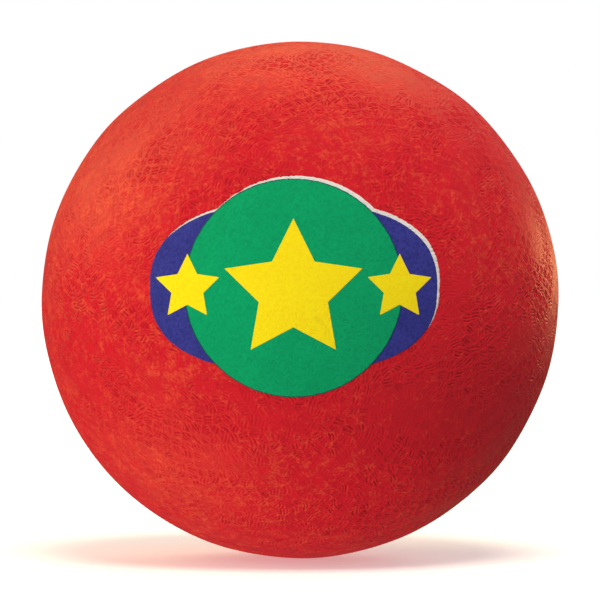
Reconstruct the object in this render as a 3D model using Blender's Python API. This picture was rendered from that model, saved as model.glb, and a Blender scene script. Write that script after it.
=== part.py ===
"""A 10 inch playground ball: a moulded rubber cover over an inner ply, a nylon thread winding and an
air bladder, with an inflation valve at the back and a printed badge at the front.

Metres, +Z up. The origin is the ball's centre. The badge faces -Y, and the valve's axis is +Y.
"""

import math

import bmesh
import bpy

# Driving dimensions
BALL_RADIUS = 0.127
GAP = 0.0003  # between layers that are bonded on the real ball
COVER_WALL = 0.0009
PLY_WALL = 0.0005
WINDING_WALL = 0.00025
BLADDER_WALL = 0.0006
PATCH_WALL = 0.0008
FLANGE_WALL = 0.0012

BALL_SEGMENTS = 36
SHELL_RINGS = 18  # from the valve port round to the far pole
VALVE_SEGMENTS = 24

# Valve, by distance from its axis and by depth below the top of the ball over the port
PORT_RADIUS = 0.0050
LAND_RADIUS = 0.0090  # edge of the flat ring moulded round the port
PATCH_RADIUS = 0.0170
FLANGE_RADIUS = 0.0110
NECK_RADIUS = 0.0046
SOCKET_BODY_RADIUS = 0.0056
SOCKET_TIP_RADIUS = 0.0046
SEAT_FACE_DEPTH = 0.0008
SEAT_LENGTH = 0.0165
SEAT_OUTLET_RADIUS = 0.0014
CORE_HEAD_RADIUS = 0.0029
CORE_HEAD_HEIGHT = 0.0015
CORE_SHANK_RADIUS = 0.0021
CORE_LENGTH = 0.0135
CORE_CLEARANCE = 0.0002
NEEDLE_RADIUS = 0.0009
NEEDLE_DEPTH = 0.0085  # the passage is open this far, and a slit from there on
NEEDLE_MOUTH_RADIUS = 0.0013
NEEDLE_MOUTH_DEPTH = 0.0006
SLIT_WIDTH = 0.0003
SLIT_LENGTH = 0.0026

# Badge, as seen from -Y: u to the right, v up, both from the badge's centre
BADGE_CENTRE = (-0.003, 0.0056)
OVAL_HALF_WIDTH = 0.0660
OVAL_HALF_HEIGHT = 0.0385
OVAL_POWER = 2.5  # 2 is an ellipse, more is squarer
DISC_RADIUS = 0.0500
BASE_SHIFT = (0.0012, 0.0014)  # the white base is printed a little out of register
STAR_RADIUS = 0.0330
STAR_WAIST = 0.50  # inner radius as a share of the outer one
STAR_CENTRE = (0.0, -0.0015)
SIDE_STAR_RADIUS = 0.0155
SIDE_STAR_OFFSET = 0.0485
FILM_WALL = 0.0001
FILM_STEP = 0.00025  # from one film's inner face to the next one's
FIRST_FILM_LIFT = 0.00015


def clear_scene():
    for item in list(bpy.data.objects):
        bpy.data.objects.remove(item, do_unlink=True)


def material(name, colour, roughness):
    made = bpy.data.materials.new(name)
    made.use_nodes = True
    shader = made.node_tree.nodes["Principled BSDF"]
    shader.inputs["Base Color"].default_value = (*colour, 1.0)
    shader.inputs["Roughness"].default_value = roughness
    shader.inputs["Metallic"].default_value = 0.0
    made.diffuse_color = (*colour, 1.0)
    return made


def add_object(name, mesh, surface, parent):
    made = bpy.data.objects.new(name, mesh)
    bpy.context.scene.collection.objects.link(made)
    mesh.materials.append(surface)
    made.parent = parent
    return made


def add_empty(name, location, rotation):
    made = bpy.data.objects.new(name, None)
    made.location = location
    made.rotation_euler = rotation
    bpy.context.scene.collection.objects.link(made)
    return made


# Turned pieces: a profile of (radius, height) about the local Z axis


def turned(name, profile, closed, segments, surface, parent):
    """Spins a profile that runs up its inner side and down its outer side."""
    mesh = bpy.data.meshes.new(name)
    points = [(radius, 0.0, height) for radius, height in profile]
    edges = [(i, i + 1) for i in range(len(points) - 1)]
    if closed:
        edges.append((len(points) - 1, 0))
    mesh.from_pydata(points, edges, [])
    made = add_object(name, mesh, surface, parent)
    screw = made.modifiers.new("turn", "SCREW")
    screw.axis = "Z"
    screw.angle = math.tau
    screw.steps = segments
    screw.render_steps = segments
    screw.use_merge_vertices = True
    screw.merge_threshold = 0.00002
    screw.use_smooth_shade = True
    return made


def on_sphere(radius, angle):
    """The point of a sphere's profile at an angle from the valve's axis."""
    return radius * math.sin(angle), radius * math.cos(angle)


def height_on_sphere(radius, distance):
    return math.sqrt(radius**2 - distance**2)


PORT_ANGLE = math.asin(PORT_RADIUS / BALL_RADIUS)
FIRST_RING_ANGLE = math.radians(8.5)


def shell_angles():
    """Every layer has its rings at the same angles, so that their facets stay parallel."""
    step = (math.pi - FIRST_RING_ANGLE) / (SHELL_RINGS - 1)
    return [PORT_ANGLE] + [FIRST_RING_ANGLE + step * i for i in range(SHELL_RINGS - 1)]


def shell_profile(outer, inner):
    """A hollow sphere that is open at the valve port and closed at the far pole."""
    angles = shell_angles()
    inside = [(0.0, -inner)] + [on_sphere(inner, angle) for angle in reversed(angles)]
    outside = [on_sphere(outer, angle) for angle in angles] + [(0.0, -outer)]
    return inside + outside


def cover_profile(outer, inner):
    """The shell with a flat ring for a pump needle's collar round the port."""
    land_height = height_on_sphere(outer, LAND_RADIUS)
    profile = shell_profile(outer, inner)
    port_edge = SHELL_RINGS + 1
    profile[port_edge] = (PORT_RADIUS, land_height)
    profile.insert(port_edge + 1, (LAND_RADIUS, land_height))
    return profile


def cap_profile(outer, inner, rim_radius):
    """A ring cut from a thin sphere, from the valve port out to rim_radius."""
    rim_angle = math.asin(rim_radius / outer)
    ends = (PORT_ANGLE, rim_angle)
    inside = [on_sphere(inner, angle) for angle in reversed(ends)]
    return inside + [on_sphere(outer, angle) for angle in ends]


def seat_profile(flange_outer, flange_inner, face_height):
    """The socket that holds the core: neck, flange, body, and a stepped bore down to an outlet."""
    bore = CORE_SHANK_RADIUS + CORE_CLEARANCE
    counterbore = CORE_HEAD_RADIUS + CORE_CLEARANCE
    step_height = face_height - CORE_HEAD_HEIGHT - CORE_CLEARANCE
    floor_height = face_height - CORE_LENGTH - 2 * CORE_CLEARANCE
    tip_height = face_height - SEAT_LENGTH
    return [
        (SEAT_OUTLET_RADIUS, tip_height),
        (SEAT_OUTLET_RADIUS, floor_height),
        (bore, floor_height),
        (bore, step_height),
        (counterbore, step_height),
        (counterbore, face_height),
        (NECK_RADIUS, face_height),
        (NECK_RADIUS, height_on_sphere(flange_outer, NECK_RADIUS)),
        (FLANGE_RADIUS, height_on_sphere(flange_outer, FLANGE_RADIUS)),
        (FLANGE_RADIUS, height_on_sphere(flange_inner, FLANGE_RADIUS)),
        (SOCKET_BODY_RADIUS, height_on_sphere(flange_inner, SOCKET_BODY_RADIUS)),
        (SOCKET_BODY_RADIUS, tip_height + SOCKET_BODY_RADIUS),
        (SOCKET_TIP_RADIUS, tip_height),
    ]


def core_profile():
    """The plug, with its outer face at height 0 and a blind needle passage down its middle."""
    return [
        (0.0, -NEEDLE_DEPTH - NEEDLE_RADIUS),
        (NEEDLE_RADIUS, -NEEDLE_DEPTH),
        (NEEDLE_RADIUS, -NEEDLE_MOUTH_DEPTH),
        (NEEDLE_MOUTH_RADIUS, 0.0),
        (CORE_HEAD_RADIUS, 0.0),
        (CORE_HEAD_RADIUS, -CORE_HEAD_HEIGHT),
        (CORE_SHANK_RADIUS, -CORE_HEAD_HEIGHT),
        (CORE_SHANK_RADIUS, -CORE_LENGTH + CORE_SHANK_RADIUS / 2),
        (CORE_SHANK_RADIUS / 2, -CORE_LENGTH),
        (0.0, -CORE_LENGTH),
    ]


def cut_slit(core, parent):
    """The closed passage goes on as a narrow slit that a needle opens."""
    top = -NEEDLE_DEPTH + NEEDLE_RADIUS
    bottom = -CORE_LENGTH - CORE_SHANK_RADIUS
    mesh = bpy.data.meshes.new("slit_cutter")
    shape = bmesh.new()
    bmesh.ops.create_cube(shape, size=1.0)
    bmesh.ops.scale(shape, vec=(SLIT_WIDTH, SLIT_LENGTH, top - bottom), verts=shape.verts)
    shape.to_mesh(mesh)
    shape.free()
    cutter = bpy.data.objects.new("slit_cutter", mesh)
    bpy.context.scene.collection.objects.link(cutter)
    cutter.location = (0.0, 0.0, (top + bottom) / 2)
    cutter.parent = parent
    cutter.hide_render = True
    cutter.display_type = "WIRE"
    cut = core.modifiers.new("slit", "BOOLEAN")
    cut.operation = "DIFFERENCE"
    cut.solver = "EXACT"
    cut.object = cutter


# Badge: each ink is a thin film that follows the ball


def oval_reach(angle):
    """Distance from the badge's centre to the oval's edge in one direction."""
    across = abs(math.cos(angle)) / OVAL_HALF_WIDTH
    upward = abs(math.sin(angle)) / OVAL_HALF_HEIGHT
    return (across**OVAL_POWER + upward**OVAL_POWER) ** (-1 / OVAL_POWER)


def outline_by_reach(reach, points):
    """A closed outline from a function that gives its distance in each direction."""
    angles = [math.tau * i / points for i in range(points)]
    return [(reach(a) * math.cos(a), reach(a) * math.sin(a)) for a in angles]


def star_outline(radius, pieces_per_edge):
    """A five-pointed star, one point up, with each of its ten edges in equal pieces."""
    corners = []
    for i in range(10):
        reach = radius if i % 2 == 0 else radius * STAR_WAIST
        angle = math.pi / 2 + math.tau * i / 10
        corners.append((reach * math.cos(angle), reach * math.sin(angle)))
    outline = []
    for (u0, v0), (u1, v1) in zip(corners, corners[1:] + corners[:1]):
        for i in range(pieces_per_edge):
            share = i / pieces_per_edge
            outline.append((u0 + (u1 - u0) * share, v0 + (v1 - v0) * share))
    return outline


def on_ball(u, v, radius):
    """A flat badge point pressed straight onto a sphere of this radius."""
    x = BADGE_CENTRE[0] + u
    z = BADGE_CENTRE[1] + v
    return x, -math.sqrt(radius**2 - x**2 - z**2), z


def film(name, outline, centre, rings, layer, surface, parent):
    """Rings of the outline about its centre, laid on the ball and thickened outwards."""
    inner_face = BALL_RADIUS + FIRST_FILM_LIFT + FILM_STEP * layer
    shape = bmesh.new()
    middle = shape.verts.new(on_ball(*centre, inner_face))
    rows = []
    for ring in range(1, rings + 1):
        share = ring / rings
        rows.append(
            [
                shape.verts.new(on_ball(centre[0] + u * share, centre[1] + v * share, inner_face))
                for u, v in outline
            ]
        )
    count = len(outline)
    for i in range(count):
        after = (i + 1) % count
        shape.faces.new((middle, rows[0][i], rows[0][after]))
        for near, far in zip(rows, rows[1:]):
            shape.faces.new((near[i], far[i], far[after], near[after]))
    bmesh.ops.triangulate(shape, faces=shape.faces)
    mesh = bpy.data.meshes.new(name)
    shape.to_mesh(mesh)
    shape.free()
    mesh.shade_smooth()
    made = add_object(name, mesh, surface, parent)
    solid = made.modifiers.new("thickness", "SOLIDIFY")
    solid.thickness = FILM_WALL
    solid.offset = 1.0
    return made


def build_layers(axis):
    """The four hollow spheres, from the outside in. Returns the bladder's inner radius."""
    layers = [
        ("outer_cover", COVER_WALL, material("red_rubber", (0.66, 0.035, 0.030), 0.55)),
        ("inner_ply", PLY_WALL, material("grey_rubber", (0.16, 0.13, 0.12), 0.7)),
        ("nylon_winding", WINDING_WALL, material("nylon_thread", (0.72, 0.69, 0.60), 0.6)),
        ("bladder", BLADDER_WALL, material("black_butyl", (0.02, 0.02, 0.022), 0.45)),
    ]
    outer = BALL_RADIUS
    for name, wall, surface in layers:
        inner = outer - wall
        profile = cover_profile if name == "outer_cover" else shell_profile
        turned(name, profile(outer, inner), False, BALL_SEGMENTS, surface, axis)
        outer = inner - GAP
    return outer + GAP


def build_valve(axis, bladder_inner):
    patch_outer = bladder_inner - GAP
    patch_inner = patch_outer - PATCH_WALL
    flange_outer = patch_inner - GAP
    face_height = height_on_sphere(BALL_RADIUS, PORT_RADIUS) - SEAT_FACE_DEPTH
    patch = cap_profile(patch_outer, patch_inner, PATCH_RADIUS)
    patch_rubber = material("patch_rubber", (0.05, 0.05, 0.055), 0.65)
    turned("valve_patch", patch, True, BALL_SEGMENTS, patch_rubber, axis)
    seat = seat_profile(flange_outer, flange_outer - FLANGE_WALL, face_height)
    seat_rubber = material("seat_rubber", (0.03, 0.03, 0.03), 0.5)
    turned("valve_seat", seat, True, VALVE_SEGMENTS, seat_rubber, axis)
    core_axis = add_empty("valve_core_axis", (0.0, 0.0, face_height), (0.0, 0.0, 0.0))
    core_axis.parent = axis
    core_rubber = material("core_rubber", (0.10, 0.10, 0.10), 0.45)
    core = turned("valve_core", core_profile(), False, VALVE_SEGMENTS, core_rubber, core_axis)
    cut_slit(core, core_axis)


def build_badge(ball):
    white = material("white_ink", (0.86, 0.86, 0.83), 0.4)
    blue = material("blue_ink", (0.045, 0.045, 0.27), 0.4)
    green = material("green_ink", (0.0, 0.36, 0.14), 0.4)
    yellow = material("yellow_ink", (0.95, 0.74, 0.012), 0.4)

    def base_reach(angle):
        return max(oval_reach(angle), DISC_RADIUS)

    def disc_reach(_angle):
        return DISC_RADIUS

    film("badge_white_base", outline_by_reach(base_reach, 48), BASE_SHIFT, 7, 0, white, ball)
    film("badge_blue_oval", outline_by_reach(oval_reach, 48), (0.0, 0.0), 7, 1, blue, ball)
    film("badge_green_disc", outline_by_reach(disc_reach, 40), (0.0, 0.0), 6, 2, green, ball)
    star = star_outline(STAR_RADIUS, 2)
    film("badge_yellow_star", star, STAR_CENTRE, 4, 3, yellow, ball)
    small = star_outline(SIDE_STAR_RADIUS, 1)
    for side, name in ((-1, "left"), (1, "right")):
        centre = (side * SIDE_STAR_OFFSET, 0.0)
        film(f"badge_small_star_{name}", small, centre, 2, 3, yellow, ball)


def main():
    clear_scene()
    ball = add_empty("ball_centre", (0.0, 0.0, 0.0), (0.0, 0.0, 0.0))
    axis = add_empty("valve_axis", (0.0, 0.0, 0.0), (-math.pi / 2, 0.0, 0.0))
    axis.parent = ball
    build_valve(axis, build_layers(axis))
    build_badge(ball)


main()
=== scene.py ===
"""The looks of the playground ball: a finely moulded rubber cover, a printed badge that follows its
relief, the valve, and the layers inside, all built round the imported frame."""

import math
import bmesh
import bpy
import numpy as np
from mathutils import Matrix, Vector


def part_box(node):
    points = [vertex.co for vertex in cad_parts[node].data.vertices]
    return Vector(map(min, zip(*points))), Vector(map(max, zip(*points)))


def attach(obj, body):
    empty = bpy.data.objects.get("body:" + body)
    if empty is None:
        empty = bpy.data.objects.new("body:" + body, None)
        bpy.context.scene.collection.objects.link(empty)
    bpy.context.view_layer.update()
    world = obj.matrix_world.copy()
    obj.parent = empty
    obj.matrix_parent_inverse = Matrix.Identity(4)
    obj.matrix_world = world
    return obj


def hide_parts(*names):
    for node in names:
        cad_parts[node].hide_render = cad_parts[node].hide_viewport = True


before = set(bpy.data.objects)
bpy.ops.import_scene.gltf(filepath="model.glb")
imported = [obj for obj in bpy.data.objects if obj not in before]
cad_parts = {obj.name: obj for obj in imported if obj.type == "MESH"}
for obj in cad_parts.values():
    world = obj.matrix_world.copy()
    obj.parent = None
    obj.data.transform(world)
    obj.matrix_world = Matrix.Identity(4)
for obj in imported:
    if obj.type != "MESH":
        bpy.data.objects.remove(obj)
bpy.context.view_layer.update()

MM = 0.001
RANDOM_SEED = 11

# Places read from the frame
COVER_LOW, COVER_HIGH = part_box("outer_cover")
BALL_RADIUS = (COVER_HIGH.x - COVER_LOW.x) / 2
LAND_HEIGHT = COVER_HIGH.y  # the flat ring moulded round the valve port
LAND_RADIUS = math.sqrt(BALL_RADIUS**2 - LAND_HEIGHT**2)
PLY_RADIUS = (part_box("inner_ply")[1].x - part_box("inner_ply")[0].x) / 2
LAYER_GAP = 0.3 * MM
COVER_INNER_RADIUS = PLY_RADIUS + LAYER_GAP
SEAT_LOW, SEAT_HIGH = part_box("valve_seat")
CORE_LOW, CORE_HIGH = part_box("valve_core")
CORE_HEAD_RADIUS = CORE_HIGH.x
PORT_RADIUS = 5.0 * MM
LIP_ROUNDING = 0.22 * MM  # how far the cover's lip falls away at the port
LIP_REACH = 1.12  # where the lip's fall begins, in port radii
LAND_MARGIN = 1.02
PLY_WALL = 0.5 * MM
WINDING_WALL = 0.25 * MM
WINDING_RADIUS = PLY_RADIUS - PLY_WALL - LAYER_GAP
BLADDER_RADIUS = WINDING_RADIUS - WINDING_WALL - LAYER_GAP
BLADDER_WALL = 0.6 * MM
PATCH_OUTER_RADIUS = BLADDER_RADIUS - BLADDER_WALL - LAYER_GAP
PATCH_WALL = 0.8 * MM
PATCH_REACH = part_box("valve_patch")[1].x
PATCH_EDGE_INSET = 0.2 * MM
PATCH_EDGE_TOP = 0.02 * MM  # below the patch's outer side
PATCH_EDGE_BOTTOM = 0.22 * MM
PATCH_FEATHER = 2.6 * MM
FLANGE_OUTER_RADIUS = PATCH_OUTER_RADIUS - PATCH_WALL - LAYER_GAP
FLANGE_WALL = 1.2 * MM
FLANGE_REACH = SEAT_HIGH.x
NECK_RADIUS = 4.6 * MM
SOCKET_RADIUS = 5.6 * MM
SOCKET_TIP_RADIUS = 4.6 * MM
FLANGE_EDGE = 0.5 * MM
CORE_CLEARANCE = 0.2 * MM
COUNTERBORE_RADIUS = CORE_HEAD_RADIUS + CORE_CLEARANCE
CORE_SHANK_RADIUS = 2.1 * MM
BORE_RADIUS = CORE_SHANK_RADIUS + CORE_CLEARANCE
OUTLET_RADIUS = 1.4 * MM
CORE_HEAD_HEIGHT = 1.5 * MM
NEEDLE_RADIUS = 0.9 * MM
NEEDLE_DEPTH = 8.5 * MM
NEEDLE_MOUTH_RADIUS = 1.3 * MM
NEEDLE_MOUTH_HEIGHT = 0.25 * MM
FUNNEL_WIDTH = 0.45 * MM
FUNNEL_DEPTH = 0.9 * MM
HEAD_DOME = 0.12 * MM
SLIT_WIDTH = 0.3 * MM
SLIT_LENGTH = 2.6 * MM

# Uneven surfaces of the hidden layers
PLY_SWELL = 0.05 * MM
PLY_SWELL_LENGTH = 18 * MM
BLADDER_SWELL = 0.04 * MM
BLADDER_SWELL_LENGTH = 30 * MM
BLADDER_SEAM_HEIGHT = 0.08 * MM
SEAM_CREST = 0.8 * MM  # half the width of the seam's crest, and of its foot
SEAM_FOOT = 2.4 * MM
LAYER_WAVES = (12, 21)  # number of plane waves, seed

# Moulded grip: small patches of parallel grooves inside a raised net
PATCH_SPACING = 5.5 * MM
PATCH_AREA = 0.87 * PATCH_SPACING**2  # as in a lattice of hexagons
SEARCH_CELL = 1.6 * PATCH_SPACING
PATCH_JITTER = 0.10  # of the spacing
PATCH_DIRECTIONS = 4
PATCH_TURN_SPREAD = 0.14  # radians
PATCH_STRENGTHS = (0.65, 1.1)
GROOVE_PITCH = 1.65 * MM
GROOVE_DEPTH = 0.53 * MM
GROOVE_WOBBLE = 0.24 * MM
GROOVE_FLANKS = (0.05, 0.95)
NET_HALF_WIDTH = 0.15 * MM
NET_SLOPE = 0.75 * MM
UNDULATION = 0.12 * MM
UNDULATION_DROP = 1.5  # how far it lies below the ball's radius, in its own heights
UNDULATION_WAVES = (55 * MM, 12, 3)  # length, number of plane waves, seed
WOBBLE_WAVES = (5.5 * MM, 14, 7)
BROKEN_GROOVES = ((3.4 * MM, 16, 5), 0.78, 0.22, (-1.4, 1.0))  # waves, mean, spread, limits
DEEPER_ZONES = ((36 * MM, 12, 9), 0.78, 0.34, (-1.3, 0.9))
UNDER_INK = 0.24  # share of the relief left where ink fills it
INK_FILLS = (-0.6 * MM, 1.0 * MM)  # distance inside the badge's outline over which it is filled
SMOOTH_RADIUS = 13.5 * MM  # no grip inside this distance from the valve's axis
GRIP_FADE = 1.2 * MM
BEAD_RADIUS = 11.6 * MM
BEAD_HALF_WIDTH = 1.0 * MM
BEAD_HEIGHT = 0.35 * MM
CLEAN_RING = 0.40  # groove value, and so the cleaner colour, of the smooth ring round the port
PARTING_HALF_WIDTH = 0.55 * MM
PARTING_HEIGHT = 0.16 * MM

INNER_RINGS = 56  # rings down the plain inner side of a shell
PORT_RING_STRETCH = 1.0044  # width of the rings round the port, against the face's mean ring
PORT_WALL_RINGS = (0.5, 0.8)  # where rings lie across the port's wall
ROUNDING_STEPS = 5
MOST_ROUNDING = 0.45  # share of an edge that one corner's rounding may take
COVER_GRID = 240  # half the grid squares along each side of the cube sphere
FILM_GRID = 130
LAYER_GRID = 72
TURNED_SEGMENTS = 96

# Nylon yarn, wound over the bladder along great circles
YARNS = 400
YARN_STEPS = 72
YARN_HALF_WIDTH = 0.45 * MM
YARN_HALF_HEIGHT = 0.08 * MM
YARN_SECTION = ((-1.0, -0.2), (-0.55, 1.0), (0.55, 1.0), (1.0, -0.2), (0.0, -1.0))
YARN_SWAY = 1.2 * MM
YARN_SWAYS = 3  # per turn
YARN_TILT_SPREAD = 0.02  # radians
YARN_LIFT = 0.03 * MM
YARN_CLEAR_OF_VALVE = 0.060  # least share of the valve's axis in a yarn circle's axis

# Badge
BLUE_LOW, BLUE_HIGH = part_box("badge_blue_oval")
GREEN_LOW, GREEN_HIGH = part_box("badge_green_disc")
WHITE_LOW, WHITE_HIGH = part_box("badge_white_base")
OVAL_POWER = 2.5
STAR_WAIST = 0.50
STAR_HALF_WIDTH = math.cos(math.radians(18))  # as a share of its radius
FILM_WALL = 0.04 * MM
FILM_SINK = 0.02 * MM  # how far a film's edge reaches into the cover
FIRST_LIFT = 0.06 * MM
FILM_STEP = 0.09 * MM
INK_EDGE_WAVE = 0.0006  # how far an ink's edge wanders, as a share of the outline's size
INK_EDGE_WAVES = (23, 41, 67)  # per turn


# Grids


def square_rings(half):
    """A square grid as rings: i, j, ring, evenly spaced angle, and angle from its side's middle."""
    steps = np.arange(-half, half + 1)
    i, j = (a.ravel() for a in np.meshgrid(steps, steps, indexing="ij"))
    wide = np.abs(i) >= np.abs(j)
    major = np.where(wide, i, j)
    minor = np.where(wide, j, i)
    share = np.divide(minor, major, out=np.zeros(len(i)), where=major != 0)
    wide_side = np.where(i >= 0, 0.0, math.pi)
    high_side = np.where(j >= 0, math.pi / 2, -math.pi / 2)
    side = np.where(wide, wide_side, high_side)
    angle = side + np.where(wide, 1.0, -1.0) * share * math.pi / 4
    return i, j, np.abs(major), angle, share * math.pi / 4


def square_quads(half, hole=0):
    """The grid's squares, without those inside the hole's ring."""
    count = 2 * half + 1
    steps = np.arange(2 * half)
    i, j = (a.ravel() for a in np.meshgrid(steps, steps, indexing="ij"))
    inside = np.maximum(np.abs(i - half + 0.5), np.abs(j - half + 0.5)) < hole
    first = (i * count + j)[~inside]
    return np.stack([first, first + count, first + count + 1, first + 1], axis=1)


def smooth(low, high, value):
    share = np.clip((value - low) / (high - low), 0.0, 1.0)
    return share * share * (3 - 2 * share)


def unit(points):
    return points / np.linalg.norm(points, axis=1, keepdims=True)


def linked(name, data):
    """A new object in the scene."""
    made = bpy.data.objects.new(name, data)
    bpy.context.scene.collection.objects.link(made)
    return made


def mesh_object(name, points, faces, fields):
    """A smooth mesh from arrays of faces, each of one face size, with fields of one number a point."""
    mesh = bpy.data.meshes.new(name)
    loops = np.concatenate([part.ravel() for part in faces]).astype(np.int32)
    sizes = np.concatenate([np.full(len(part), part.shape[1]) for part in faces])
    mesh.vertices.add(len(points))
    mesh.vertices.foreach_set("co", np.asarray(points, np.float32).ravel())
    mesh.loops.add(len(loops))
    mesh.loops.foreach_set("vertex_index", loops)
    mesh.polygons.add(len(sizes))
    starts = np.concatenate([[0], np.cumsum(sizes)[:-1]])
    mesh.polygons.foreach_set("loop_start", starts.astype(np.int32))
    for key, values in fields.items():
        field = mesh.attributes.new(key, "FLOAT", "POINT")
        field.data.foreach_set("value", values.astype(np.float32))
    mesh.update(calc_edges=True)
    mesh.validate()
    mesh.shade_smooth()
    return linked(name, mesh)


# The moulded relief, as a function of direction from the ball's centre


def spiral_points(count):
    """Points spread evenly over a unit sphere about the valve's axis."""
    index = np.arange(count)
    height = 1 - 2 * (index + 0.5) / count
    turn = index * math.pi * (3 - math.sqrt(5))
    across = np.sqrt(1 - height**2)
    return np.stack([across * np.cos(turn), height, across * np.sin(turn)], axis=1)


class Patches:
    """The grip's patches: a centre, a groove direction, a phase, a strength and a tint for each."""

    def __init__(self):
        random = np.random.default_rng(RANDOM_SEED)
        count = round(4 * math.pi * BALL_RADIUS**2 / PATCH_AREA)
        centres = spiral_points(count)
        jitter = PATCH_JITTER * PATCH_SPACING / BALL_RADIUS
        centres = unit(centres + random.normal(0, jitter, centres.shape))
        round_axis = unit(np.cross(centres, (0.0, 1.0, 0.0)))
        up_axis = np.cross(round_axis, centres)
        turn = random.integers(0, PATCH_DIRECTIONS, count) * math.pi / PATCH_DIRECTIONS
        turn = turn + random.normal(0, PATCH_TURN_SPREAD, count)
        self.centres = centres * BALL_RADIUS
        self.across = np.cos(turn)[:, None] * round_axis + np.sin(turn)[:, None] * up_axis
        self.phase = random.uniform(0, 1, count)
        self.strength = random.uniform(*PATCH_STRENGTHS, count)
        self.tint = random.uniform(0, 1, count)

    def nearest(self, points):
        """Each point's nearest patch, and its distance from the line to the next one."""
        span = int(2.2 * BALL_RADIUS / SEARCH_CELL) + 3  # cells across the ball, with some to spare
        weights = np.array([span * span, span, 1])

        def cells(places):
            return np.floor(places / SEARCH_CELL).astype(np.int64) + span // 2

        keys = cells(points) @ weights
        order = np.argsort(keys, kind="stable")
        keys = keys[order]
        around = np.stack(np.meshgrid(*[(-1, 0, 1)] * 3, indexing="ij"), axis=-1).reshape(-1, 3)
        wanted = (cells(self.centres)[:, None, :] + around) @ weights
        starts = np.searchsorted(keys, wanted, "left")
        ends = np.searchsorted(keys, wanted, "right")
        first = np.full(len(points), 1.0)
        second = np.full(len(points), 1.0)
        owner = np.zeros(len(points), np.int64)
        for patch in range(len(self.centres)):
            spans = [order[a:b] for a, b in zip(starts[patch], ends[patch]) if b > a]
            if not spans:
                continue
            near = np.concatenate(spans)
            away = np.linalg.norm(points[near] - self.centres[patch], axis=1)
            closer = away < first[near]
            second[near] = np.where(closer, first[near], np.minimum(second[near], away))
            first[near] = np.where(closer, away, first[near])
            owner[near] = np.where(closer, patch, owner[near])
        return owner, (second - first) / 2


PATCHES = Patches()


def waves(points, length, count, seed):
    """A smooth random field of about unit size, from plane waves."""
    random = np.random.default_rng(seed)
    headings = unit(random.normal(size=(count, 3))) * (2 * math.pi / length)
    headings *= random.uniform(0.7, 1.4, (count, 1))
    phases = random.uniform(0, 2 * math.pi, count)
    return np.sin(points @ headings.T + phases).sum(axis=1) / math.sqrt(count / 2)


def uneven(points, kind, mean, spread, limits):
    """A share that varies over the ball, from a wave field clipped to its limits."""
    return mean + spread * np.clip(waves(points, *kind), *limits)


def badge_depth(points):
    """How far inside the badge's outline a point of the ball lies, negative outside it."""
    u = points[:, 0] - BADGE_CENTRE[0]
    v = points[:, 2] - BADGE_CENTRE[1]
    inside = badge_reach(np.arctan2(v, u)) - np.hypot(u, v)
    return np.where(points[:, 1] < 0, inside, -1.0)


def relief(directions):
    """(height above the ball's radius, groove from 0 to about 1, patch tint) in each direction."""
    points = directions * BALL_RADIUS
    owner, edge = PATCHES.nearest(points)
    along = ((points - PATCHES.centres[owner]) * PATCHES.across[owner]).sum(axis=1)
    along += GROOVE_WOBBLE * waves(points, *WOBBLE_WAVES)
    wave = 0.5 - 0.5 * np.cos(2 * math.pi * (along / GROOVE_PITCH + PATCHES.phase[owner]))
    off_net = smooth(NET_HALF_WIDTH, NET_HALF_WIDTH + NET_SLOPE, edge)
    groove = smooth(*GROOVE_FLANKS, wave) * off_net
    broken = uneven(points, *BROKEN_GROOVES)
    zone = uneven(points, *DEEPER_ZONES)
    groove *= PATCHES.strength[owner] * broken * zone
    from_axis = np.where(points[:, 1] > 0, np.hypot(points[:, 0], points[:, 2]), 1.0)
    groove *= smooth(SMOOTH_RADIUS, SMOOTH_RADIUS + GRIP_FADE, from_axis)
    from_seam = np.abs(points[:, 1])
    groove *= smooth(PARTING_HALF_WIDTH, 2.2 * PARTING_HALF_WIDTH, from_seam)
    calm = smooth(*INK_FILLS, badge_depth(points))
    height = -GROOVE_DEPTH * groove * (1 - (1 - UNDER_INK) * calm)
    undulation = UNDULATION * (waves(points, *UNDULATION_WAVES) - UNDULATION_DROP)
    height += undulation * smooth(LAND_RADIUS, 3 * LAND_RADIUS, from_axis)
    off_parting = smooth(0.25 * PARTING_HALF_WIDTH, PARTING_HALF_WIDTH, from_seam)
    height += PARTING_HEIGHT * (1 - off_parting)
    bead = np.clip(1 - ((from_axis - BEAD_RADIUS) / BEAD_HALF_WIDTH) ** 2, 0, 1)
    height += BEAD_HEIGHT * bead
    groove = np.maximum(groove, CLEAN_RING * (1 - smooth(BEAD_RADIUS, SMOOTH_RADIUS, from_axis)))
    return height, groove, PATCHES.tint[owner]


# Cover


def face_points(half, port_ring):
    """One face of the sphere: i, j, ring, angle from the face's pole and turn at each grid point."""
    i, j, ring, turn, local = square_rings(half)
    share = ring / half
    port_angle = math.asin(PORT_RADIUS / BALL_RADIUS)
    round_angle = port_angle * ring / port_ring
    square_angle = np.arctan(np.tan(math.pi / 4 * share) / np.cos(local))
    blend = smooth(0.25, 1.0, share)
    return i, j, ring, round_angle * (1 - blend) + square_angle * blend, turn


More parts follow.
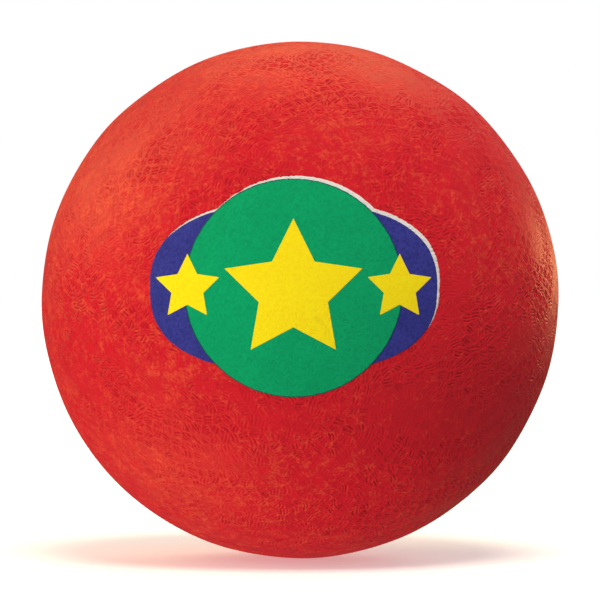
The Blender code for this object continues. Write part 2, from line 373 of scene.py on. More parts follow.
def cube_sphere(half):
    """A sphere of six square faces, open at the port: directions, quads and the port's rim."""
    port_angle = math.asin(PORT_RADIUS / BALL_RADIUS)
    port_ring = round(half * port_angle / (PORT_RING_STRETCH * math.pi / 4))
    i, j, ring, angle, turn = face_points(half, port_ring)
    axes = [
        ((0, 1, 0), (0, 0, 1), (1, 0, 0)),
        ((0, -1, 0), (1, 0, 0), (0, 0, 1)),
        ((1, 0, 0), (0, 1, 0), (0, 0, 1)),
        ((-1, 0, 0), (0, 0, 1), (0, 1, 0)),
        ((0, 0, 1), (1, 0, 0), (0, 1, 0)),
        ((0, 0, -1), (0, 1, 0), (1, 0, 0)),
    ]
    directions, keys, quads = [], [], []
    count = 2 * half + 1
    for face, (pole, first, second) in enumerate(np.array(axes)):
        flat = np.cos(turn)[:, None] * first + np.sin(turn)[:, None] * second
        directions.append(np.cos(angle)[:, None] * pole + np.sin(angle)[:, None] * flat)
        lattice = half * pole + i[:, None] * first + j[:, None] * second + half
        keys.append(lattice @ np.array([count * count, count, 1]))
        quads.append(square_quads(half, port_ring if face == 0 else 0) + face * count * count)
    _, kept, index = np.unique(np.concatenate(keys), return_index=True, return_inverse=True)
    directions = np.concatenate(directions)[kept]
    quads = index.reshape(-1)[np.concatenate(quads)]
    rim = index.reshape(-1)[np.flatnonzero(ring == port_ring)]
    rim = rim[np.argsort(turn[ring == port_ring])]
    return directions, quads, rim


def lined_shell(name, points, quads, rim, inner_radius, fields):
    """Closes a sphere's outer side with the port's wall and a plain inner side, ring by ring."""
    turns = np.arctan2(points[rim, 0], points[rim, 2])
    port_top = points[rim, 1].max()
    inner_port = math.sqrt(inner_radius**2 - PORT_RADIUS**2)
    wall = inner_port - port_top
    profile = [(PORT_RADIUS, port_top + wall * share) for share in PORT_WALL_RINGS]
    start = math.asin(PORT_RADIUS / inner_radius)
    for k in range(INNER_RINGS):
        polar = start + (math.pi - start) * k / INNER_RINGS
        profile.append((inner_radius * math.sin(polar), inner_radius * math.cos(polar)))
    first_inner = len(points)
    size = len(rim)
    inner_rings = [
        np.stack([r * np.sin(turns), np.full(size, y), r * np.cos(turns)], axis=1)
        for r, y in profile
    ]
    rows = [rim] + [first_inner + k * size + np.arange(size) for k in range(len(profile))]
    walls = [
        np.stack([a, np.roll(a, -1), np.roll(b, -1), b], axis=1) for a, b in zip(rows, rows[1:])
    ]
    pole = first_inner + len(profile) * size
    cap = np.stack([rows[-1], np.roll(rows[-1], -1), np.full(size, pole)], axis=1)
    extra = np.concatenate(inner_rings + [np.array([[0.0, -inner_radius, 0.0]])])
    blank = np.zeros(len(extra))
    fields = {key: np.concatenate([values, blank]) for key, values in fields.items()}
    faces = [np.concatenate([quads] + walls), cap]
    points = np.concatenate([points, extra])
    return mesh_object(name, *used_only(points, faces, fields))


def cover():
    """The moulded cover: the grip's relief, the flat land round the port and its rounded lip."""
    directions, quads, rim = cube_sphere(COVER_GRID)
    height, groove, tint = relief(directions)
    radius = BALL_RADIUS + height
    from_axis = np.where(directions[:, 1] > 0, np.hypot(directions[:, 0], directions[:, 2]), 1.0)
    from_axis *= BALL_RADIUS
    on_land = from_axis < LAND_RADIUS * LAND_MARGIN
    past_lip = smooth(PORT_RADIUS, PORT_RADIUS * LIP_REACH, from_axis)
    land = LAND_HEIGHT - LIP_ROUNDING * (1 - past_lip)
    flat_radius = land / np.maximum(directions[:, 1], 0.5)
    radius = np.where(on_land, np.minimum(radius, flat_radius), radius)
    points = directions * radius[:, None]
    fields = {"groove": groove, "tint": tint}
    return lined_shell("cover_moulded", points, quads, rim, COVER_INNER_RADIUS, fields)


def layer(name, radius, wall, swell, swell_length, seam):
    """A hidden hollow sphere: uneven, below its full radius, with a seam rib in the moulds' plane."""
    directions, quads, rim = cube_sphere(LAYER_GRID)
    bumps = swell * np.clip(waves(directions * radius, swell_length, *LAYER_WAVES), -2, 2) / 2
    rib = seam * (1 - smooth(SEAM_CREST, SEAM_FOOT, np.abs(directions[:, 1]) * radius))
    points = directions * (radius - swell - seam + bumps + rib)[:, None]
    return lined_shell(name, points, quads, rim, radius - wall, {})


def yarn_winding():
    """Flattened yarns round the bladder, each along a swaying great circle, clear of the valve."""
    random = np.random.default_rng(RANDOM_SEED + 1)
    axes = spiral_points(2 * YARNS)
    axes = unit(axes[:YARNS] + random.normal(0, YARN_TILT_SPREAD, (YARNS, 3)))
    axes = axes[axes[:, 1] > YARN_CLEAR_OF_VALVE]
    first = unit(np.cross(axes, (1.0, 0.0, 0.0)))
    second = np.cross(axes, first)
    phase = random.uniform(0, math.tau, len(axes))
    lift = random.uniform(-YARN_LIFT, YARN_LIFT, len(axes))
    shade = random.uniform(0, 1, len(axes))
    middle = WINDING_RADIUS - WINDING_WALL / 2
    steps = np.arange(YARN_STEPS) * math.tau / YARN_STEPS
    turn = steps[None, :] + phase[:, None]
    way = np.cos(turn)[..., None] * first[:, None, :]
    way = way + np.sin(turn)[..., None] * second[:, None, :]
    sway = YARN_SWAY * np.sin(YARN_SWAYS * steps)[None, :, None] * axes[:, None, :]
    rings = []
    for across, upward in YARN_SECTION:
        out = middle + lift[:, None, None] + YARN_HALF_HEIGHT * upward
        side = way * middle + sway + YARN_HALF_WIDTH * across * axes[:, None, :]
        rings.append(side / np.linalg.norm(side, axis=2, keepdims=True) * out)
    points = np.stack(rings, axis=2).reshape(-1, 3)
    fields = {"shade": np.repeat(shade, YARN_STEPS * len(YARN_SECTION))}
    return mesh_object("winding_yarn", points, [yarn_quads(len(axes))], fields)


def yarn_quads(yarns):
    """The quads between the sections of each yarn, all the way round it."""
    count = len(YARN_SECTION)
    counts = (np.arange(yarns), np.arange(YARN_STEPS), np.arange(count))
    yarn, step, corner = np.meshgrid(*counts, indexing="ij")

    def at(step, corner):
        return ((yarn * YARN_STEPS + step % YARN_STEPS) * count + corner % count).ravel()

    here = at(step, corner)
    ahead = at(step + 1, corner)
    ahead_across = at(step + 1, corner + 1)
    across = at(step, corner + 1)
    return np.stack([here, ahead, ahead_across, across], axis=1)


# Turned pieces of the valve


def rounded(corners):
    """A profile of (radius, height) from corners of (radius, height, rounding)."""
    spots = [np.array(corner[:2]) for corner in corners]
    profile = []
    for k, (spot, corner) in enumerate(zip(spots, corners)):
        if corner[2] == 0:
            profile.append(spot)
            continue
        before = spots[k - 1] - spot
        after = spots[(k + 1) % len(spots)] - spot
        before_length = np.linalg.norm(before)
        after_length = np.linalg.norm(after)
        reach = min(corner[2], MOST_ROUNDING * before_length, MOST_ROUNDING * after_length)
        start = spot + before / before_length * reach
        end = spot + after / after_length * reach
        for share in np.linspace(0, 1, ROUNDING_STEPS):
            rest = 1 - share
            profile.append(rest**2 * start + 2 * share * rest * spot + share**2 * end)
    return profile


def turned(name, profile):
    """Spins a profile about the valve's axis. Ends on the axis become points; others join up."""
    turn = np.arange(TURNED_SEGMENTS) * math.tau / TURNED_SEGMENTS
    open_ended = profile[0][0] == 0
    rows, points = [], []
    for radius, height in profile:
        if radius == 0:
            rows.append([len(points)] * TURNED_SEGMENTS)
            points.append((0.0, height, 0.0))
            continue
        rows.append(range(len(points), len(points) + TURNED_SEGMENTS))
        points.extend((radius * math.sin(t), height, radius * math.cos(t)) for t in turn)
    pairs = list(zip(rows, rows[1:]))
    if not open_ended:
        pairs.append((rows[-1], rows[0]))
    shape = bmesh.new()
    spots = [shape.verts.new(point) for point in points]
    for near, far in pairs:
        for k in range(TURNED_SEGMENTS):
            after = (k + 1) % TURNED_SEGMENTS
            corners = dict.fromkeys((near[k], near[after], far[after], far[k]))
            shape.faces.new([spots[index] for index in corners])
    bmesh.ops.recalc_face_normals(shape, faces=shape.faces)
    mesh = bpy.data.meshes.new(name)
    shape.to_mesh(mesh)
    shape.free()
    mesh.shade_smooth()
    return linked(name, mesh)


def height_on(radius, distance):
    """The height of a sphere at a distance from its axis."""
    return math.sqrt(radius**2 - distance**2)


def patch():
    """The bladder's inner patch, feathered to a thin edge."""
    inner = PATCH_OUTER_RADIUS - PATCH_WALL
    edge = PATCH_REACH - PATCH_EDGE_INSET
    edge_height = height_on(PATCH_OUTER_RADIUS, edge)
    middle = 0.5 * PATCH_REACH
    feather = edge - PATCH_FEATHER
    corners = [
        (PORT_RADIUS, height_on(inner, PORT_RADIUS), 0.15 * MM),
        (PORT_RADIUS, height_on(PATCH_OUTER_RADIUS, PORT_RADIUS), 0.15 * MM),
        (middle, height_on(PATCH_OUTER_RADIUS, middle), 0.5 * MM),
        (edge, edge_height - PATCH_EDGE_TOP, 0.1 * MM),
        (edge, edge_height - PATCH_EDGE_BOTTOM, 0.1 * MM),
        (feather, height_on(inner, feather), 1.0 * MM),
        (middle, height_on(inner, middle), 0.5 * MM),
    ]
    return turned("patch_feathered", rounded(corners))


def seat():
    """The socket: a rounded collar round the core, the flange on the patch, the body, its outlet."""
    face = SEAT_HIGH.y
    flange_inner = FLANGE_OUTER_RADIUS - FLANGE_WALL
    flange_edge = height_on(FLANGE_OUTER_RADIUS, FLANGE_REACH)
    step = face - CORE_HEAD_HEIGHT - CORE_CLEARANCE
    floor = CORE_LOW.y - CORE_CLEARANCE
    tip = SEAT_LOW.y
    corners = [
        (OUTLET_RADIUS, tip, 0.3 * MM),
        (OUTLET_RADIUS, floor, 0.3 * MM),
        (BORE_RADIUS, floor, 0.0),
        (BORE_RADIUS, step, 0.15 * MM),
        (COUNTERBORE_RADIUS, step, 0.0),
        (COUNTERBORE_RADIUS, face, 0.22 * MM),
        (NECK_RADIUS, face, 0.55 * MM),
        (NECK_RADIUS, height_on(FLANGE_OUTER_RADIUS, NECK_RADIUS), 0.0),
        (FLANGE_REACH, flange_edge, 0.25 * MM),
        (FLANGE_REACH, flange_edge - FLANGE_EDGE, 0.25 * MM),
        (SOCKET_RADIUS, height_on(flange_inner, SOCKET_RADIUS), 1.2 * MM),
        (SOCKET_RADIUS, tip + SOCKET_RADIUS, 1.2 * MM),
        (SOCKET_TIP_RADIUS, tip, 0.7 * MM),
    ]
    return turned("seat_collared", rounded(corners))


def box(name, size, centre):
    """A plain box, used only to cut with."""
    shape = bmesh.new()
    bmesh.ops.create_cube(shape, size=1.0)
    bmesh.ops.scale(shape, vec=size, verts=shape.verts)
    bmesh.ops.translate(shape, vec=centre, verts=shape.verts)
    mesh = bpy.data.meshes.new(name)
    shape.to_mesh(mesh)
    shape.free()
    return linked(name, mesh)


def cut_out(piece, cutter):
    """Takes the cutter's shape out of a piece, and removes the cutter."""
    cut = piece.modifiers.new(cutter.name, "BOOLEAN")
    cut.operation = "DIFFERENCE"
    cut.solver = "EXACT"
    cut.object = cutter
    shaped = piece.evaluated_get(bpy.context.evaluated_depsgraph_get())
    piece.data = bpy.data.meshes.new_from_object(shaped)
    piece.modifiers.clear()
    bpy.data.objects.remove(cutter)


def core():
    """The plug: a softly domed head round the needle's funnel, a tapering shank and the slit."""
    face = CORE_HIGH.y
    end = CORE_LOW.y
    corners = [
        (0.0, face - NEEDLE_DEPTH - NEEDLE_RADIUS, 0.0),
        (NEEDLE_RADIUS, face - NEEDLE_DEPTH, 0.3 * MM),
        (NEEDLE_RADIUS, face - FUNNEL_DEPTH, 0.4 * MM),
        (NEEDLE_MOUTH_RADIUS, face - NEEDLE_MOUTH_HEIGHT, 0.2 * MM),
        (NEEDLE_MOUTH_RADIUS + FUNNEL_WIDTH, face, 0.3 * MM),
        (CORE_HEAD_RADIUS, face - HEAD_DOME, 0.35 * MM),
        (CORE_HEAD_RADIUS, face - CORE_HEAD_HEIGHT, 0.15 * MM),
        (CORE_SHANK_RADIUS, face - CORE_HEAD_HEIGHT, 0.15 * MM),
        (CORE_SHANK_RADIUS, end + 0.5 * CORE_SHANK_RADIUS, 0.5 * MM),
        (0.5 * CORE_SHANK_RADIUS, end, 0.3 * MM),
        (0.0, end, 0.0),
    ]
    made = turned("core_plug", rounded(corners))
    top = face - NEEDLE_DEPTH + NEEDLE_RADIUS
    bottom = end - CORE_SHANK_RADIUS
    slit_size = (SLIT_WIDTH, top - bottom, SLIT_LENGTH)
    cut_out(made, box("slit", slit_size, (0.0, (top + bottom) / 2, 0.0)))
    return made


def used_only(points, faces, fields):
    """Drops the points that no face uses."""
    used = np.zeros(len(points), bool)
    for part in faces:
        used[part.ravel()] = True
    renumber = np.cumsum(used) - 1
    fields = {key: values[used] for key, values in fields.items()}
    return points[used], [renumber[part] for part in faces if len(part)], fields


# Badge films


def film_centre(low, high):
    return (low.x + high.x) / 2, (low.z + high.z) / 2


BADGE_CENTRE = film_centre(BLUE_LOW, BLUE_HIGH)
OVAL_HALF_WIDTH = (BLUE_HIGH.x - BLUE_LOW.x) / 2
OVAL_HALF_HEIGHT = (BLUE_HIGH.z - BLUE_LOW.z) / 2
DISC_RADIUS = (GREEN_HIGH.z - GREEN_LOW.z) / 2


def oval_reach(angle):
    across = np.abs(np.cos(angle)) / OVAL_HALF_WIDTH
    upward = np.abs(np.sin(angle)) / OVAL_HALF_HEIGHT
    return (across**OVAL_POWER + upward**OVAL_POWER) ** (-1 / OVAL_POWER)


def disc_reach(angle):
    return np.full(len(angle), DISC_RADIUS)


def badge_reach(angle):
    return np.maximum(oval_reach(angle), DISC_RADIUS)


def star_reach(radius):
    """Distance from a five-pointed star's centre to its edge, one point up."""

    def reach(angle):
        sector = math.tau / 10
        turned = np.mod(angle - math.pi / 2, 2 * sector)
        turned = np.minimum(turned, 2 * sector - turned)
        tip = np.array([radius, 0.0])
        waist = radius * STAR_WAIST * np.array([math.cos(sector), math.sin(sector)])
        edge = waist - tip
        through_edge = tip[0] * edge[1] - tip[1] * edge[0]
        return through_edge / (np.cos(turned) * edge[1] - np.sin(turned) * edge[0])

    return reach


def film(name, node, reach, centre, layer, half):
    """A thin closed film of one ink, which follows the cover's relief."""
    _, _, ring, turn, _ = square_rings(half)
    edge_turns = np.outer(turn, INK_EDGE_WAVES) + layer * np.array((1, 2, 3))
    ragged = 1 + INK_EDGE_WAVE * np.sin(edge_turns).sum(axis=1)
    spread = reach(turn) * ring / half * ragged
    x = centre[0] + spread * np.cos(turn)
    z = centre[1] + spread * np.sin(turn)
    y = -np.sqrt(BALL_RADIUS**2 - x**2 - z**2)
    directions = np.stack([x, y, z], axis=1) / BALL_RADIUS
    height, groove, _ = relief(directions)
    bottom_lift = FIRST_LIFT + layer * FILM_STEP
    edge = ring == half
    top = directions * (BALL_RADIUS + height + bottom_lift + FILM_WALL)[:, None]
    bottom = directions * (BALL_RADIUS + height + bottom_lift)[:, None]
    bottom[edge] = (directions * (BALL_RADIUS + height - FILM_SINK)[:, None])[edge]
    count = len(top)
    quads = square_quads(half)
    rim = np.flatnonzero(edge)
    rim = rim[np.argsort(turn[edge])]
    after = np.roll(rim, -1)
    skirt = np.stack([rim + count, after + count, after, rim], axis=1)
    faces = [np.concatenate([quads, quads[:, ::-1] + count, skirt])]
    inside = reach(turn) * (1 - ring / half)
    fields = {
        "groove": np.concatenate([groove, groove]),
        "inside": np.concatenate([inside, 0 * inside]),
    }
    made = mesh_object(name, np.concatenate([top, bottom]), faces, fields)
    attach(made, "ball")
    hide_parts(node)
    return made


# Materials


class Nodes:
    """Short calls for building a material's nodes."""

    def __init__(self, name):
        self.material = bpy.data.materials.new(name)
        self.material.use_nodes = True
        self.tree = self.material.node_tree
        self.shader = self.tree.nodes["Principled BSDF"]
        self.place = self.tree.nodes.new("ShaderNodeTexCoord").outputs["Object"]

    def link(self, start, end):
        self.tree.links.new(start, end)

    def noise(self, scale, detail, rough=0.5):
        node = self.tree.nodes.new("ShaderNodeTexNoise")
        node.inputs["Scale"].default_value = scale
        node.inputs["Detail"].default_value = detail
        node.inputs["Roughness"].default_value = rough
        self.link(self.place, node.inputs["Vector"])
        return node.outputs["Fac"]

    def field(self, name):
        node = self.tree.nodes.new("ShaderNodeAttribute")
        node.attribute_name = name
        return node.outputs["Fac"]

    def along(self, heading):
        """How far a point of the piece lies along a heading, in metres."""
        node = self.tree.nodes.new("ShaderNodeVectorMath")
        node.operation = "DOT_PRODUCT"
        self.link(self.place, node.inputs[0])
        node.inputs[1].default_value = Vector(heading).normalized()
        return node.outputs["Value"]

    def ramp(self, value, low, high, start=0.0, end=1.0):
        node = self.tree.nodes.new("ShaderNodeMapRange")
        node.interpolation_type = "SMOOTHSTEP"
        node.inputs["From Min"].default_value = low
        node.inputs["From Max"].default_value = high
        node.inputs["To Min"].default_value = start
        node.inputs["To Max"].default_value = end
        self.link(value, node.inputs["Value"])
        return node.outputs["Result"]

    def math(self, operation, first, second):
        node = self.tree.nodes.new("ShaderNodeMath")
        node.operation = operation
        for socket, value in zip(node.inputs, (first, second)):
            if isinstance(value, (int, float)):
                socket.default_value = value
            else:
                self.link(value, socket)
        return node.outputs["Value"]

    def mix(self, share, first, second):
        node = self.tree.nodes.new("ShaderNodeMix")
        node.data_type = "RGBA"
        self.link(share, node.inputs["Factor"])
        colours = [s for s in node.inputs if s.type == "RGBA"]
        for socket, value in zip(colours, (first, second)):
            if isinstance(value, tuple):
                socket.default_value = (*value, 1.0)
            else:
                self.link(value, socket)
        return next(s for s in node.outputs if s.type == "RGBA")

    def bump(self, height, strength, distance):
        node = self.tree.nodes.new("ShaderNodeBump")
        node.inputs["Strength"].default_value = strength
        node.inputs["Distance"].default_value = distance
        self.link(height, node.inputs["Height"])
        self.link(node.outputs["Normal"], self.shader.inputs["Normal"])

    def set(self, **values):
        for key, value in values.items():
            socket = self.shader.inputs[key.replace("_", " ")]
            if isinstance(value, (int, float)):
                socket.default_value = value
            elif isinstance(value, tuple):
                socket.default_value = (*value, 1.0)
            else:
                self.link(value, socket)


TALC = (0.42, 0.42, 0.41)
# CRIMSON: the patches' own darker tint, and the colour of the painted shade in the grooves
CRIMSON = (0.48, 0.0036, 0.0175)
RED = (0.67, 0.0070, 0.0225)
# SCARLET: the colour of dust, and of the painted sheen on the crests and the lit side
SCARLET = (0.77, 0.066, 0.0330)
GLOSS_TINT = (1.0, 0.66, 0.36)
SHEEN_TINT = (1.0, 0.60, 0.20)
# Painted sheen: more scarlet on the upper-left side where the lamps light the ball, less on the shaded
# right side
PAINTED_SHEEN_SIDE = (-0.9, 0.0, 0.4)
PAINTED_SHEEN_REACH = 0.11  # metres from the ball's middle to where the painted sheen is fullest on the lit upper-left side, and least on the shaded right
DUST = {  # noise scale, detail and roughness, and the ramp that turns it into more or less dust
    "cloud": ((15.0, 3.0, 0.55), (0.36, 0.66, -0.32, 0.20)),
    "blotch": ((130.0, 3.0, 0.65), (0.40, 0.62, -0.24, 0.32)),
    "streak": ((330.0, 2.0, 0.60), (0.38, 0.64, -0.26, 0.38)),
    "fleck": ((760.0, 2.0, 0.60), (0.38, 0.64, -0.26, 0.44)),
}
PAINTED_SHEEN_RAMP = (-0.24, 0.08)
# share of the dust and painted sheen left down in the grooves, so that the crests carry a painted
# highlight as well as dust
DUST_AND_SHEEN_IN_GROOVES = 0.20
PATCH_CRIMSON = 0.30
# share of crimson painted shade at the bottom of the grooves
GROOVE_PAINTED_SHADE = 0.70
CREST_ROUGHNESS = (0.37, 0.47)
GROOVE_ROUGHNESS = 0.12  # added down in the grooves
RUBBER_GRAIN = 0.14 * MM
INK_CLOUDS = 0.35  # most of the darker ink in the clouds and the speckles, and the painted shade in the grooves
INK_PAINTED_SHADE_IN_GROOVES = 0.30
INK_SPECKLES = 0.60
INK_GRAIN = 0.08 * MM
INK_EDGE = (0.25 * MM, 0.60 * MM)  # from an ink's edge, where its edge colour begins and ends to fade
HIDDEN_GRAIN = 0.10 * MM
YARN_GRAIN = 0.08 * MM
YARN_DARK = (0.62, 0.57, 0.46)
YARN_LIGHT = (0.78, 0.75, 0.66)
YARN_SHADOW = (0.50, 0.46, 0.37)
INKS = {  # colour, darker colour, the edge's colour
    "white_ink": ((0.84, 0.83, 0.78), (0.66, 0.64, 0.60), (0.80, 0.78, 0.74)),
    "blue_ink": ((0.043, 0.048, 0.30), (0.018, 0.020, 0.16), (0.030, 0.034, 0.24)),
    "green_ink": ((0.0, 0.39, 0.140), (0.0, 0.28, 0.105), (0.004, 0.060, 0.070)),
    "yellow_ink": ((1.0, 0.84, 0.006), (0.96, 0.70, 0.004), (0.98, 0.76, 0.008)),
}
RUBBERS = {  # colour, lighter colour, least roughness, share of talc
    "grey_rubber": ((0.115, 0.098, 0.090), (0.17, 0.15, 0.14), 0.58, 0.25),
    "black_butyl": ((0.016, 0.016, 0.018), (0.030, 0.030, 0.034), 0.36, 0.45),
    "patch_rubber": ((0.035, 0.035, 0.038), (0.060, 0.060, 0.064), 0.58, 0.20),
    "seat_rubber": ((0.016, 0.016, 0.017), (0.032, 0.032, 0.034), 0.40, 0.10),
    "core_rubber": ((0.060, 0.060, 0.061), (0.090, 0.090, 0.092), 0.34, 0.08),
}


def cover_rubber():
    """Red rubber: scarlet dust mottling and painted sheen, kept to the crests and strongest on the lit
    upper-left side, and crimson painted shade down in the grooves.
    """
    n = Nodes("red_rubber")
    groove = n.field("groove")
    patch = n.field("tint")
    noises = {key: n.noise(*noise) for key, (noise, _) in DUST.items()}
    cloud, blotch, streak, fleck = (n.ramp(noises[key], *ramp) for key, (_, ramp) in DUST.items())
    dust = n.math("ADD", cloud, blotch)
    dust = n.math("ADD", dust, streak)
    dust = n.math("ADD", dust, fleck)
    # Painted sheen: the lit upper-left side more scarlet, the shaded right side less
    painted_sheen_side = n.ramp(n.along(PAINTED_SHEEN_SIDE), -PAINTED_SHEEN_REACH, PAINTED_SHEEN_REACH, *PAINTED_SHEEN_RAMP)
    dust = n.math("ADD", dust, painted_sheen_side)
    # Dust and painted highlight kept mostly on the crests, little down in the grooves
    dust = n.math("MULTIPLY", dust, n.ramp(groove, 0.0, 0.6, 1.0, DUST_AND_SHEEN_IN_GROOVES))
    # Scarlet where dust and painted sheen lie, red elsewhere
    colour = n.mix(dust, RED, SCARLET)
    colour = n.mix(n.ramp(patch, 0.0, 1.0, 0.0, PATCH_CRIMSON), colour, CRIMSON)
    # Painted shade: crimson down in the grooves
    colour = n.mix(n.ramp(groove, 0.15, 0.90, 0.0, GROOVE_PAINTED_SHADE), colour, CRIMSON)
    crests = n.ramp(noises["blotch"], 0.3, 0.7, *CREST_ROUGHNESS)
    rough = n.math("ADD", crests, n.ramp(groove, 0.0, 1.0, 0.0, GROOVE_ROUGHNESS))
    n.set(Base_Color=colour, Roughness=rough)
    n.set(Specular_IOR_Level=0.34, Specular_Tint=GLOSS_TINT)
    n.set(Sheen_Weight=0.06, Sheen_Roughness=0.42, Sheen_Tint=SHEEN_TINT)
    fine_grain = n.noise(2400.0, 2.0)
    grain = n.math("ADD", fine_grain, n.math("MULTIPLY", n.noise(800.0, 2.0), 1.5))
    n.bump(grain, 0.4, RUBBER_GRAIN)
    return n.material


def ink(name, colour, dark, edge):
    """A screen-printed ink: satin, grainy, with painted shade in the grooves, and its edge's own
    colour.
    """
    n = Nodes(name)
    groove = n.field("groove")
    cloud = n.noise(60.0, 4.0, 0.6)
    grain = n.noise(650.0, 3.0, 0.65)
    base = n.mix(n.ramp(cloud, 0.3, 0.75, 0.0, INK_CLOUDS), colour, dark)
    # Painted shade: the ink darker down in the grooves
    base = n.mix(n.ramp(groove, 0.1, 0.9, 0.0, INK_PAINTED_SHADE_IN_GROOVES), base, dark)
    base = n.mix(n.ramp(grain, 0.40, 0.66, 0.0, INK_SPECKLES), base, dark)
    base = n.mix(n.ramp(n.field("inside"), *INK_EDGE, 1.0, 0.0), base, edge)
    n.set(Base_Color=base, Roughness=n.ramp(cloud, 0.3, 0.7, 0.44, 0.56))
    n.set(Specular_IOR_Level=0.14)
    n.bump(n.noise(1500.0, 2.0), 0.25, INK_GRAIN)
    return n.material


def plain_rubber(name, colour, light, rough, talc):
    """The rubber of the valve and the layers inside: cloudy, grained, and dusted with talc."""
    n = Nodes(name)
    cloud = n.noise(90.0, 4.0, 0.6)
    grain = n.noise(1800.0, 3.0, 0.6)
    base = n.mix(n.ramp(cloud, 0.3, 0.75), colour, light)
    talc_clouds = n.ramp(n.noise(28.0, 4.0, 0.65), 0.42, 0.72)
    dust = n.math("MULTIPLY", talc_clouds, n.ramp(grain, 0.35, 0.65))
    base = n.mix(n.math("MULTIPLY", dust, talc), base, TALC)
    n.set(Base_Color=base, Roughness=n.ramp(grain, 0.3, 0.7, rough, rough + 0.12))
    n.bump(grain, 0.4, HIDDEN_GRAIN)
    return n.material


def yarn():
    """Off-white nylon, each yarn a little different, with a soft sheen along it."""
    n = Nodes("nylon_thread")
    grain = n.noise(2600.0, 2.0, 0.6)
    base = n.mix(n.field("shade"), YARN_DARK, YARN_LIGHT)
    base = n.mix(n.ramp(grain, 0.35, 0.7, 0.0, 0.35), base, YARN_SHADOW)
    n.set(Base_Color=base, Roughness=n.ramp(grain, 0.3, 0.7, 0.38, 0.55), Sheen_Weight=0.15)
    n.bump(grain, 0.5, YARN_GRAIN)
    return n.material


def give(piece, material):
    """Gives a piece its material."""
    piece.data.materials.clear()
    piece.data.materials.append(material)


# Build

outer = cover()
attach(outer, "ball")
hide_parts("outer_cover")
give(outer, cover_rubber())

inks = {name: ink(name, *colours) for name, colours in INKS.items()}
white_centre = (WHITE_LOW.x + WHITE_HIGH.x) / 2, WHITE_HIGH.z - DISC_RADIUS
white = film("ink_white", "badge_white_base", badge_reach, white_centre, 0, FILM_GRID)
give(white, inks["white_ink"])
blue = film("ink_blue", "badge_blue_oval", oval_reach, BADGE_CENTRE, 1, FILM_GRID)
give(blue, inks["blue_ink"])
green = film("ink_green", "badge_green_disc", disc_reach, BADGE_CENTRE, 2, FILM_GRID)
give(green, inks["green_ink"])
for name, node, grid in (
    ("ink_star", "badge_yellow_star", FILM_GRID // 2),
    ("ink_small_star_left", "badge_small_star_left", FILM_GRID // 4),
    ("ink_small_star_right", "badge_small_star_right", FILM_GRID // 4),
):
    low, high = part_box(node)
    radius = (high.x - low.x) / (2 * STAR_HALF_WIDTH)
    centre = ((low.x + high.x) / 2, high.z - radius)
    star = film(name, node, star_reach(radius), centre, 3, grid)
    give(star, inks["yellow_ink"])

rubbers = {name: plain_rubber(name, *look) for name, look in RUBBERS.items()}
ply = layer("ply_calendered", PLY_RADIUS, PLY_WALL, PLY_SWELL, PLY_SWELL_LENGTH, 0.0)
bladder_shape = (BLADDER_WALL, BLADDER_SWELL, BLADDER_SWELL_LENGTH, BLADDER_SEAM_HEIGHT)
air_bladder = layer("bladder_moulded", BLADDER_RADIUS, *bladder_shape)
for piece, node, body, look, slot in (
    (ply, "inner_ply", "ball", rubbers["grey_rubber"], "grey_rubber"),
    (yarn_winding(), "nylon_winding", "ball", yarn(), "nylon_thread"),
    (air_bladder, "bladder", "ball", rubbers["black_butyl"], "black_butyl"),
    (patch(), "valve_patch", "ball", rubbers["patch_rubber"], "patch_rubber"),
    (seat(), "valve_seat", "ball", rubbers["seat_rubber"], "seat_rubber"),
    (core(), "valve_core", "valve_core", rubbers["core_rubber"], "core_rubber"),
):
    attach(piece, body)
    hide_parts(node)
    give(piece, look)


# Stage, lights and camera


FLOOR_REACH = 60.0
FLOOR_WHITE = (0.90, 0.90, 0.90)
FLOOR_GLOW = 0.30
DOME_HEADING = (0.10, -0.90, 0.30)
DOME_START = -0.8  # the dome is darkest from here down, along its heading
DOME_LOW = 0.09
DOME_HIGH = 0.57
DOME_COLOUR = (0.98, 0.94, 1.0)
WARM = (1.0, 0.92, 0.76)
AMBER = (1.0, 0.84, 0.32)
ORANGE = (1.0, 0.50, 0.20)
SUNS = (  # name, heading, power, colour, width in degrees, lights the gloss, lights the colour
    ("top", (0.08, -0.42, 0.88), 1.90, WARM, 25, False, True),
    ("low", (-0.68, -0.22, -0.68), 2.40, WARM, 35, False, True),
    ("crown", (0.07, 0.54, 0.84), 0.84, AMBER, 50, True, False),
    ("left", (-0.78, 0.30, 0.55), 1.08, AMBER, 50, True, True),
    ("heel", (-0.62, 0.10, -0.77), 0.75, AMBER, 45, True, False),
    ("back", (0.36, 0.88, 0.30), 1.70, WARM, 40, False, True),
)
RIM_HEADING = (0.66, 0.73, 0.10)
RIM_POWER = 0.90
RIM_DISTANCE = 0.9
RIM_SIZE = 0.16
FOCAL_LENGTH = 200.0
SENSOR_WIDTH = 36.0
FILL = 0.86  # share of the picture that the ball's diameter takes


def add_floor():
    """A pale floor without a visible end. Only the camera sees it: the ball is lit from below too."""
    level = COVER_LOW.z
    signs = ((-1, -1), (1, -1), (1, 1), (-1, 1))
    corners = [(x * FLOOR_REACH, y * FLOOR_REACH, level) for x, y in signs]
    mesh = bpy.data.meshes.new("floor")
    mesh.from_pydata(corners, [], [(0, 1, 2, 3)])
    floor = linked("floor", mesh)
    floor.visible_diffuse = False
    floor.visible_glossy = False
    floor.visible_shadow = False
    n = Nodes("floor_white")
    n.set(Base_Color=FLOOR_WHITE, Roughness=0.95, Specular_IOR_Level=0.0)
    n.set(Emission_Color=(1.0, 1.0, 1.0), Emission_Strength=FLOOR_GLOW)
    mesh.materials.append(n.material)


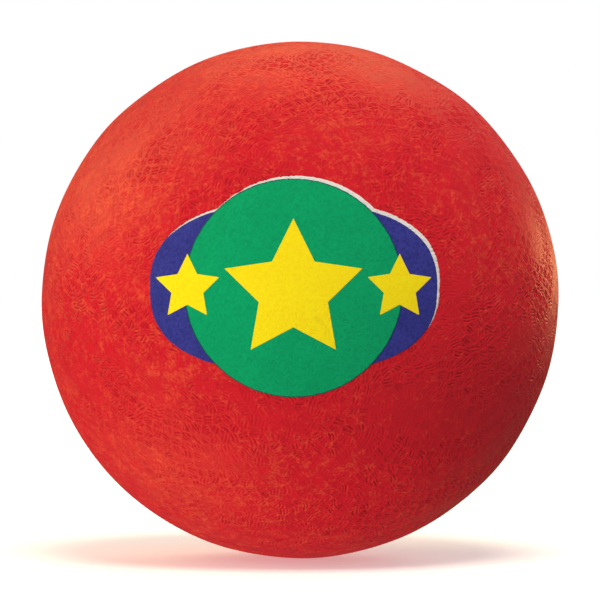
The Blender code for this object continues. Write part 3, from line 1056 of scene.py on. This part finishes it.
def add_light(name, kind, heading, distance, power, colour):
    """A light that shines on the ball from a heading."""
    light = bpy.data.lights.new(name, kind)
    light.energy = power
    light.color = colour
    made = linked(name, light)
    away = Vector(heading).normalized()
    made.location = away * distance
    made.rotation_euler = (-away).to_track_quat("-Z", "Y").to_euler()
    return made


def add_lights():
    """Wide suns round the ball, and a small lamp behind its right edge."""
    for name, heading, power, colour, width, glossy, diffuse in SUNS:
        sun = add_light(name, "SUN", heading, 1.0, power, colour)
        sun.data.angle = math.radians(width)
        sun.visible_glossy = glossy
        sun.visible_diffuse = diffuse
    rim = add_light("rim", "AREA", RIM_HEADING, RIM_DISTANCE, RIM_POWER, ORANGE)
    rim.data.size = RIM_SIZE


def add_world():
    """White behind the ball, and on the ball a soft dome of light, brightest from the front."""
    world = bpy.data.worlds.new("studio")
    bpy.context.scene.world = world
    world.use_nodes = True
    tree = world.node_tree
    back = tree.nodes["Background"]
    heading = tree.nodes.new("ShaderNodeVectorMath")
    heading.operation = "DOT_PRODUCT"
    tree.links.new(tree.nodes.new("ShaderNodeTexCoord").outputs["Generated"], heading.inputs[0])
    heading.inputs[1].default_value = Vector(DOME_HEADING).normalized()
    wrap = tree.nodes.new("ShaderNodeMapRange")
    wrap.interpolation_type = "SMOOTHSTEP"
    wrap.inputs["From Min"].default_value = DOME_START
    wrap.inputs["From Max"].default_value = 1.0
    wrap.inputs["To Min"].default_value = DOME_LOW
    wrap.inputs["To Max"].default_value = DOME_HIGH
    tree.links.new(heading.outputs["Value"], wrap.inputs["Value"])
    seen = tree.nodes.new("ShaderNodeLightPath").outputs["Is Camera Ray"]
    strength = tree.nodes.new("ShaderNodeMix")
    tree.links.new(seen, strength.inputs["Factor"])
    tree.links.new(wrap.outputs["Result"], strength.inputs["A"])
    strength.inputs["B"].default_value = 1.0
    tree.links.new(strength.outputs["Result"], back.inputs["Strength"])
    tint = tree.nodes.new("ShaderNodeMix")
    tint.data_type = "RGBA"
    first, second = (socket for socket in tint.inputs if socket.type == "RGBA")
    first.default_value = (*DOME_COLOUR, 1.0)
    second.default_value = (1.0, 1.0, 1.0, 1.0)
    tree.links.new(seen, tint.inputs["Factor"])
    tinted = next(socket for socket in tint.outputs if socket.type == "RGBA")
    tree.links.new(tinted, back.inputs["Color"])


def add_camera():
    """A long lens straight in front of the badge, at the distance that fills the picture's share."""
    camera = bpy.data.cameras.new("camera")
    camera.lens = FOCAL_LENGTH
    camera.sensor_width = SENSOR_WIDTH
    camera.clip_end = 2 * FLOOR_REACH
    eye = linked("camera", camera)
    distance = BALL_RADIUS / FILL / (SENSOR_WIDTH / 2 / FOCAL_LENGTH)
    eye.location = (0.0, -distance, 0.0)
    eye.rotation_euler = (math.pi / 2, 0.0, 0.0)
    bpy.context.scene.camera = eye


add_floor()
add_world()
add_lights()
add_camera()
bpy.context.scene.view_settings.view_transform = "Standard"
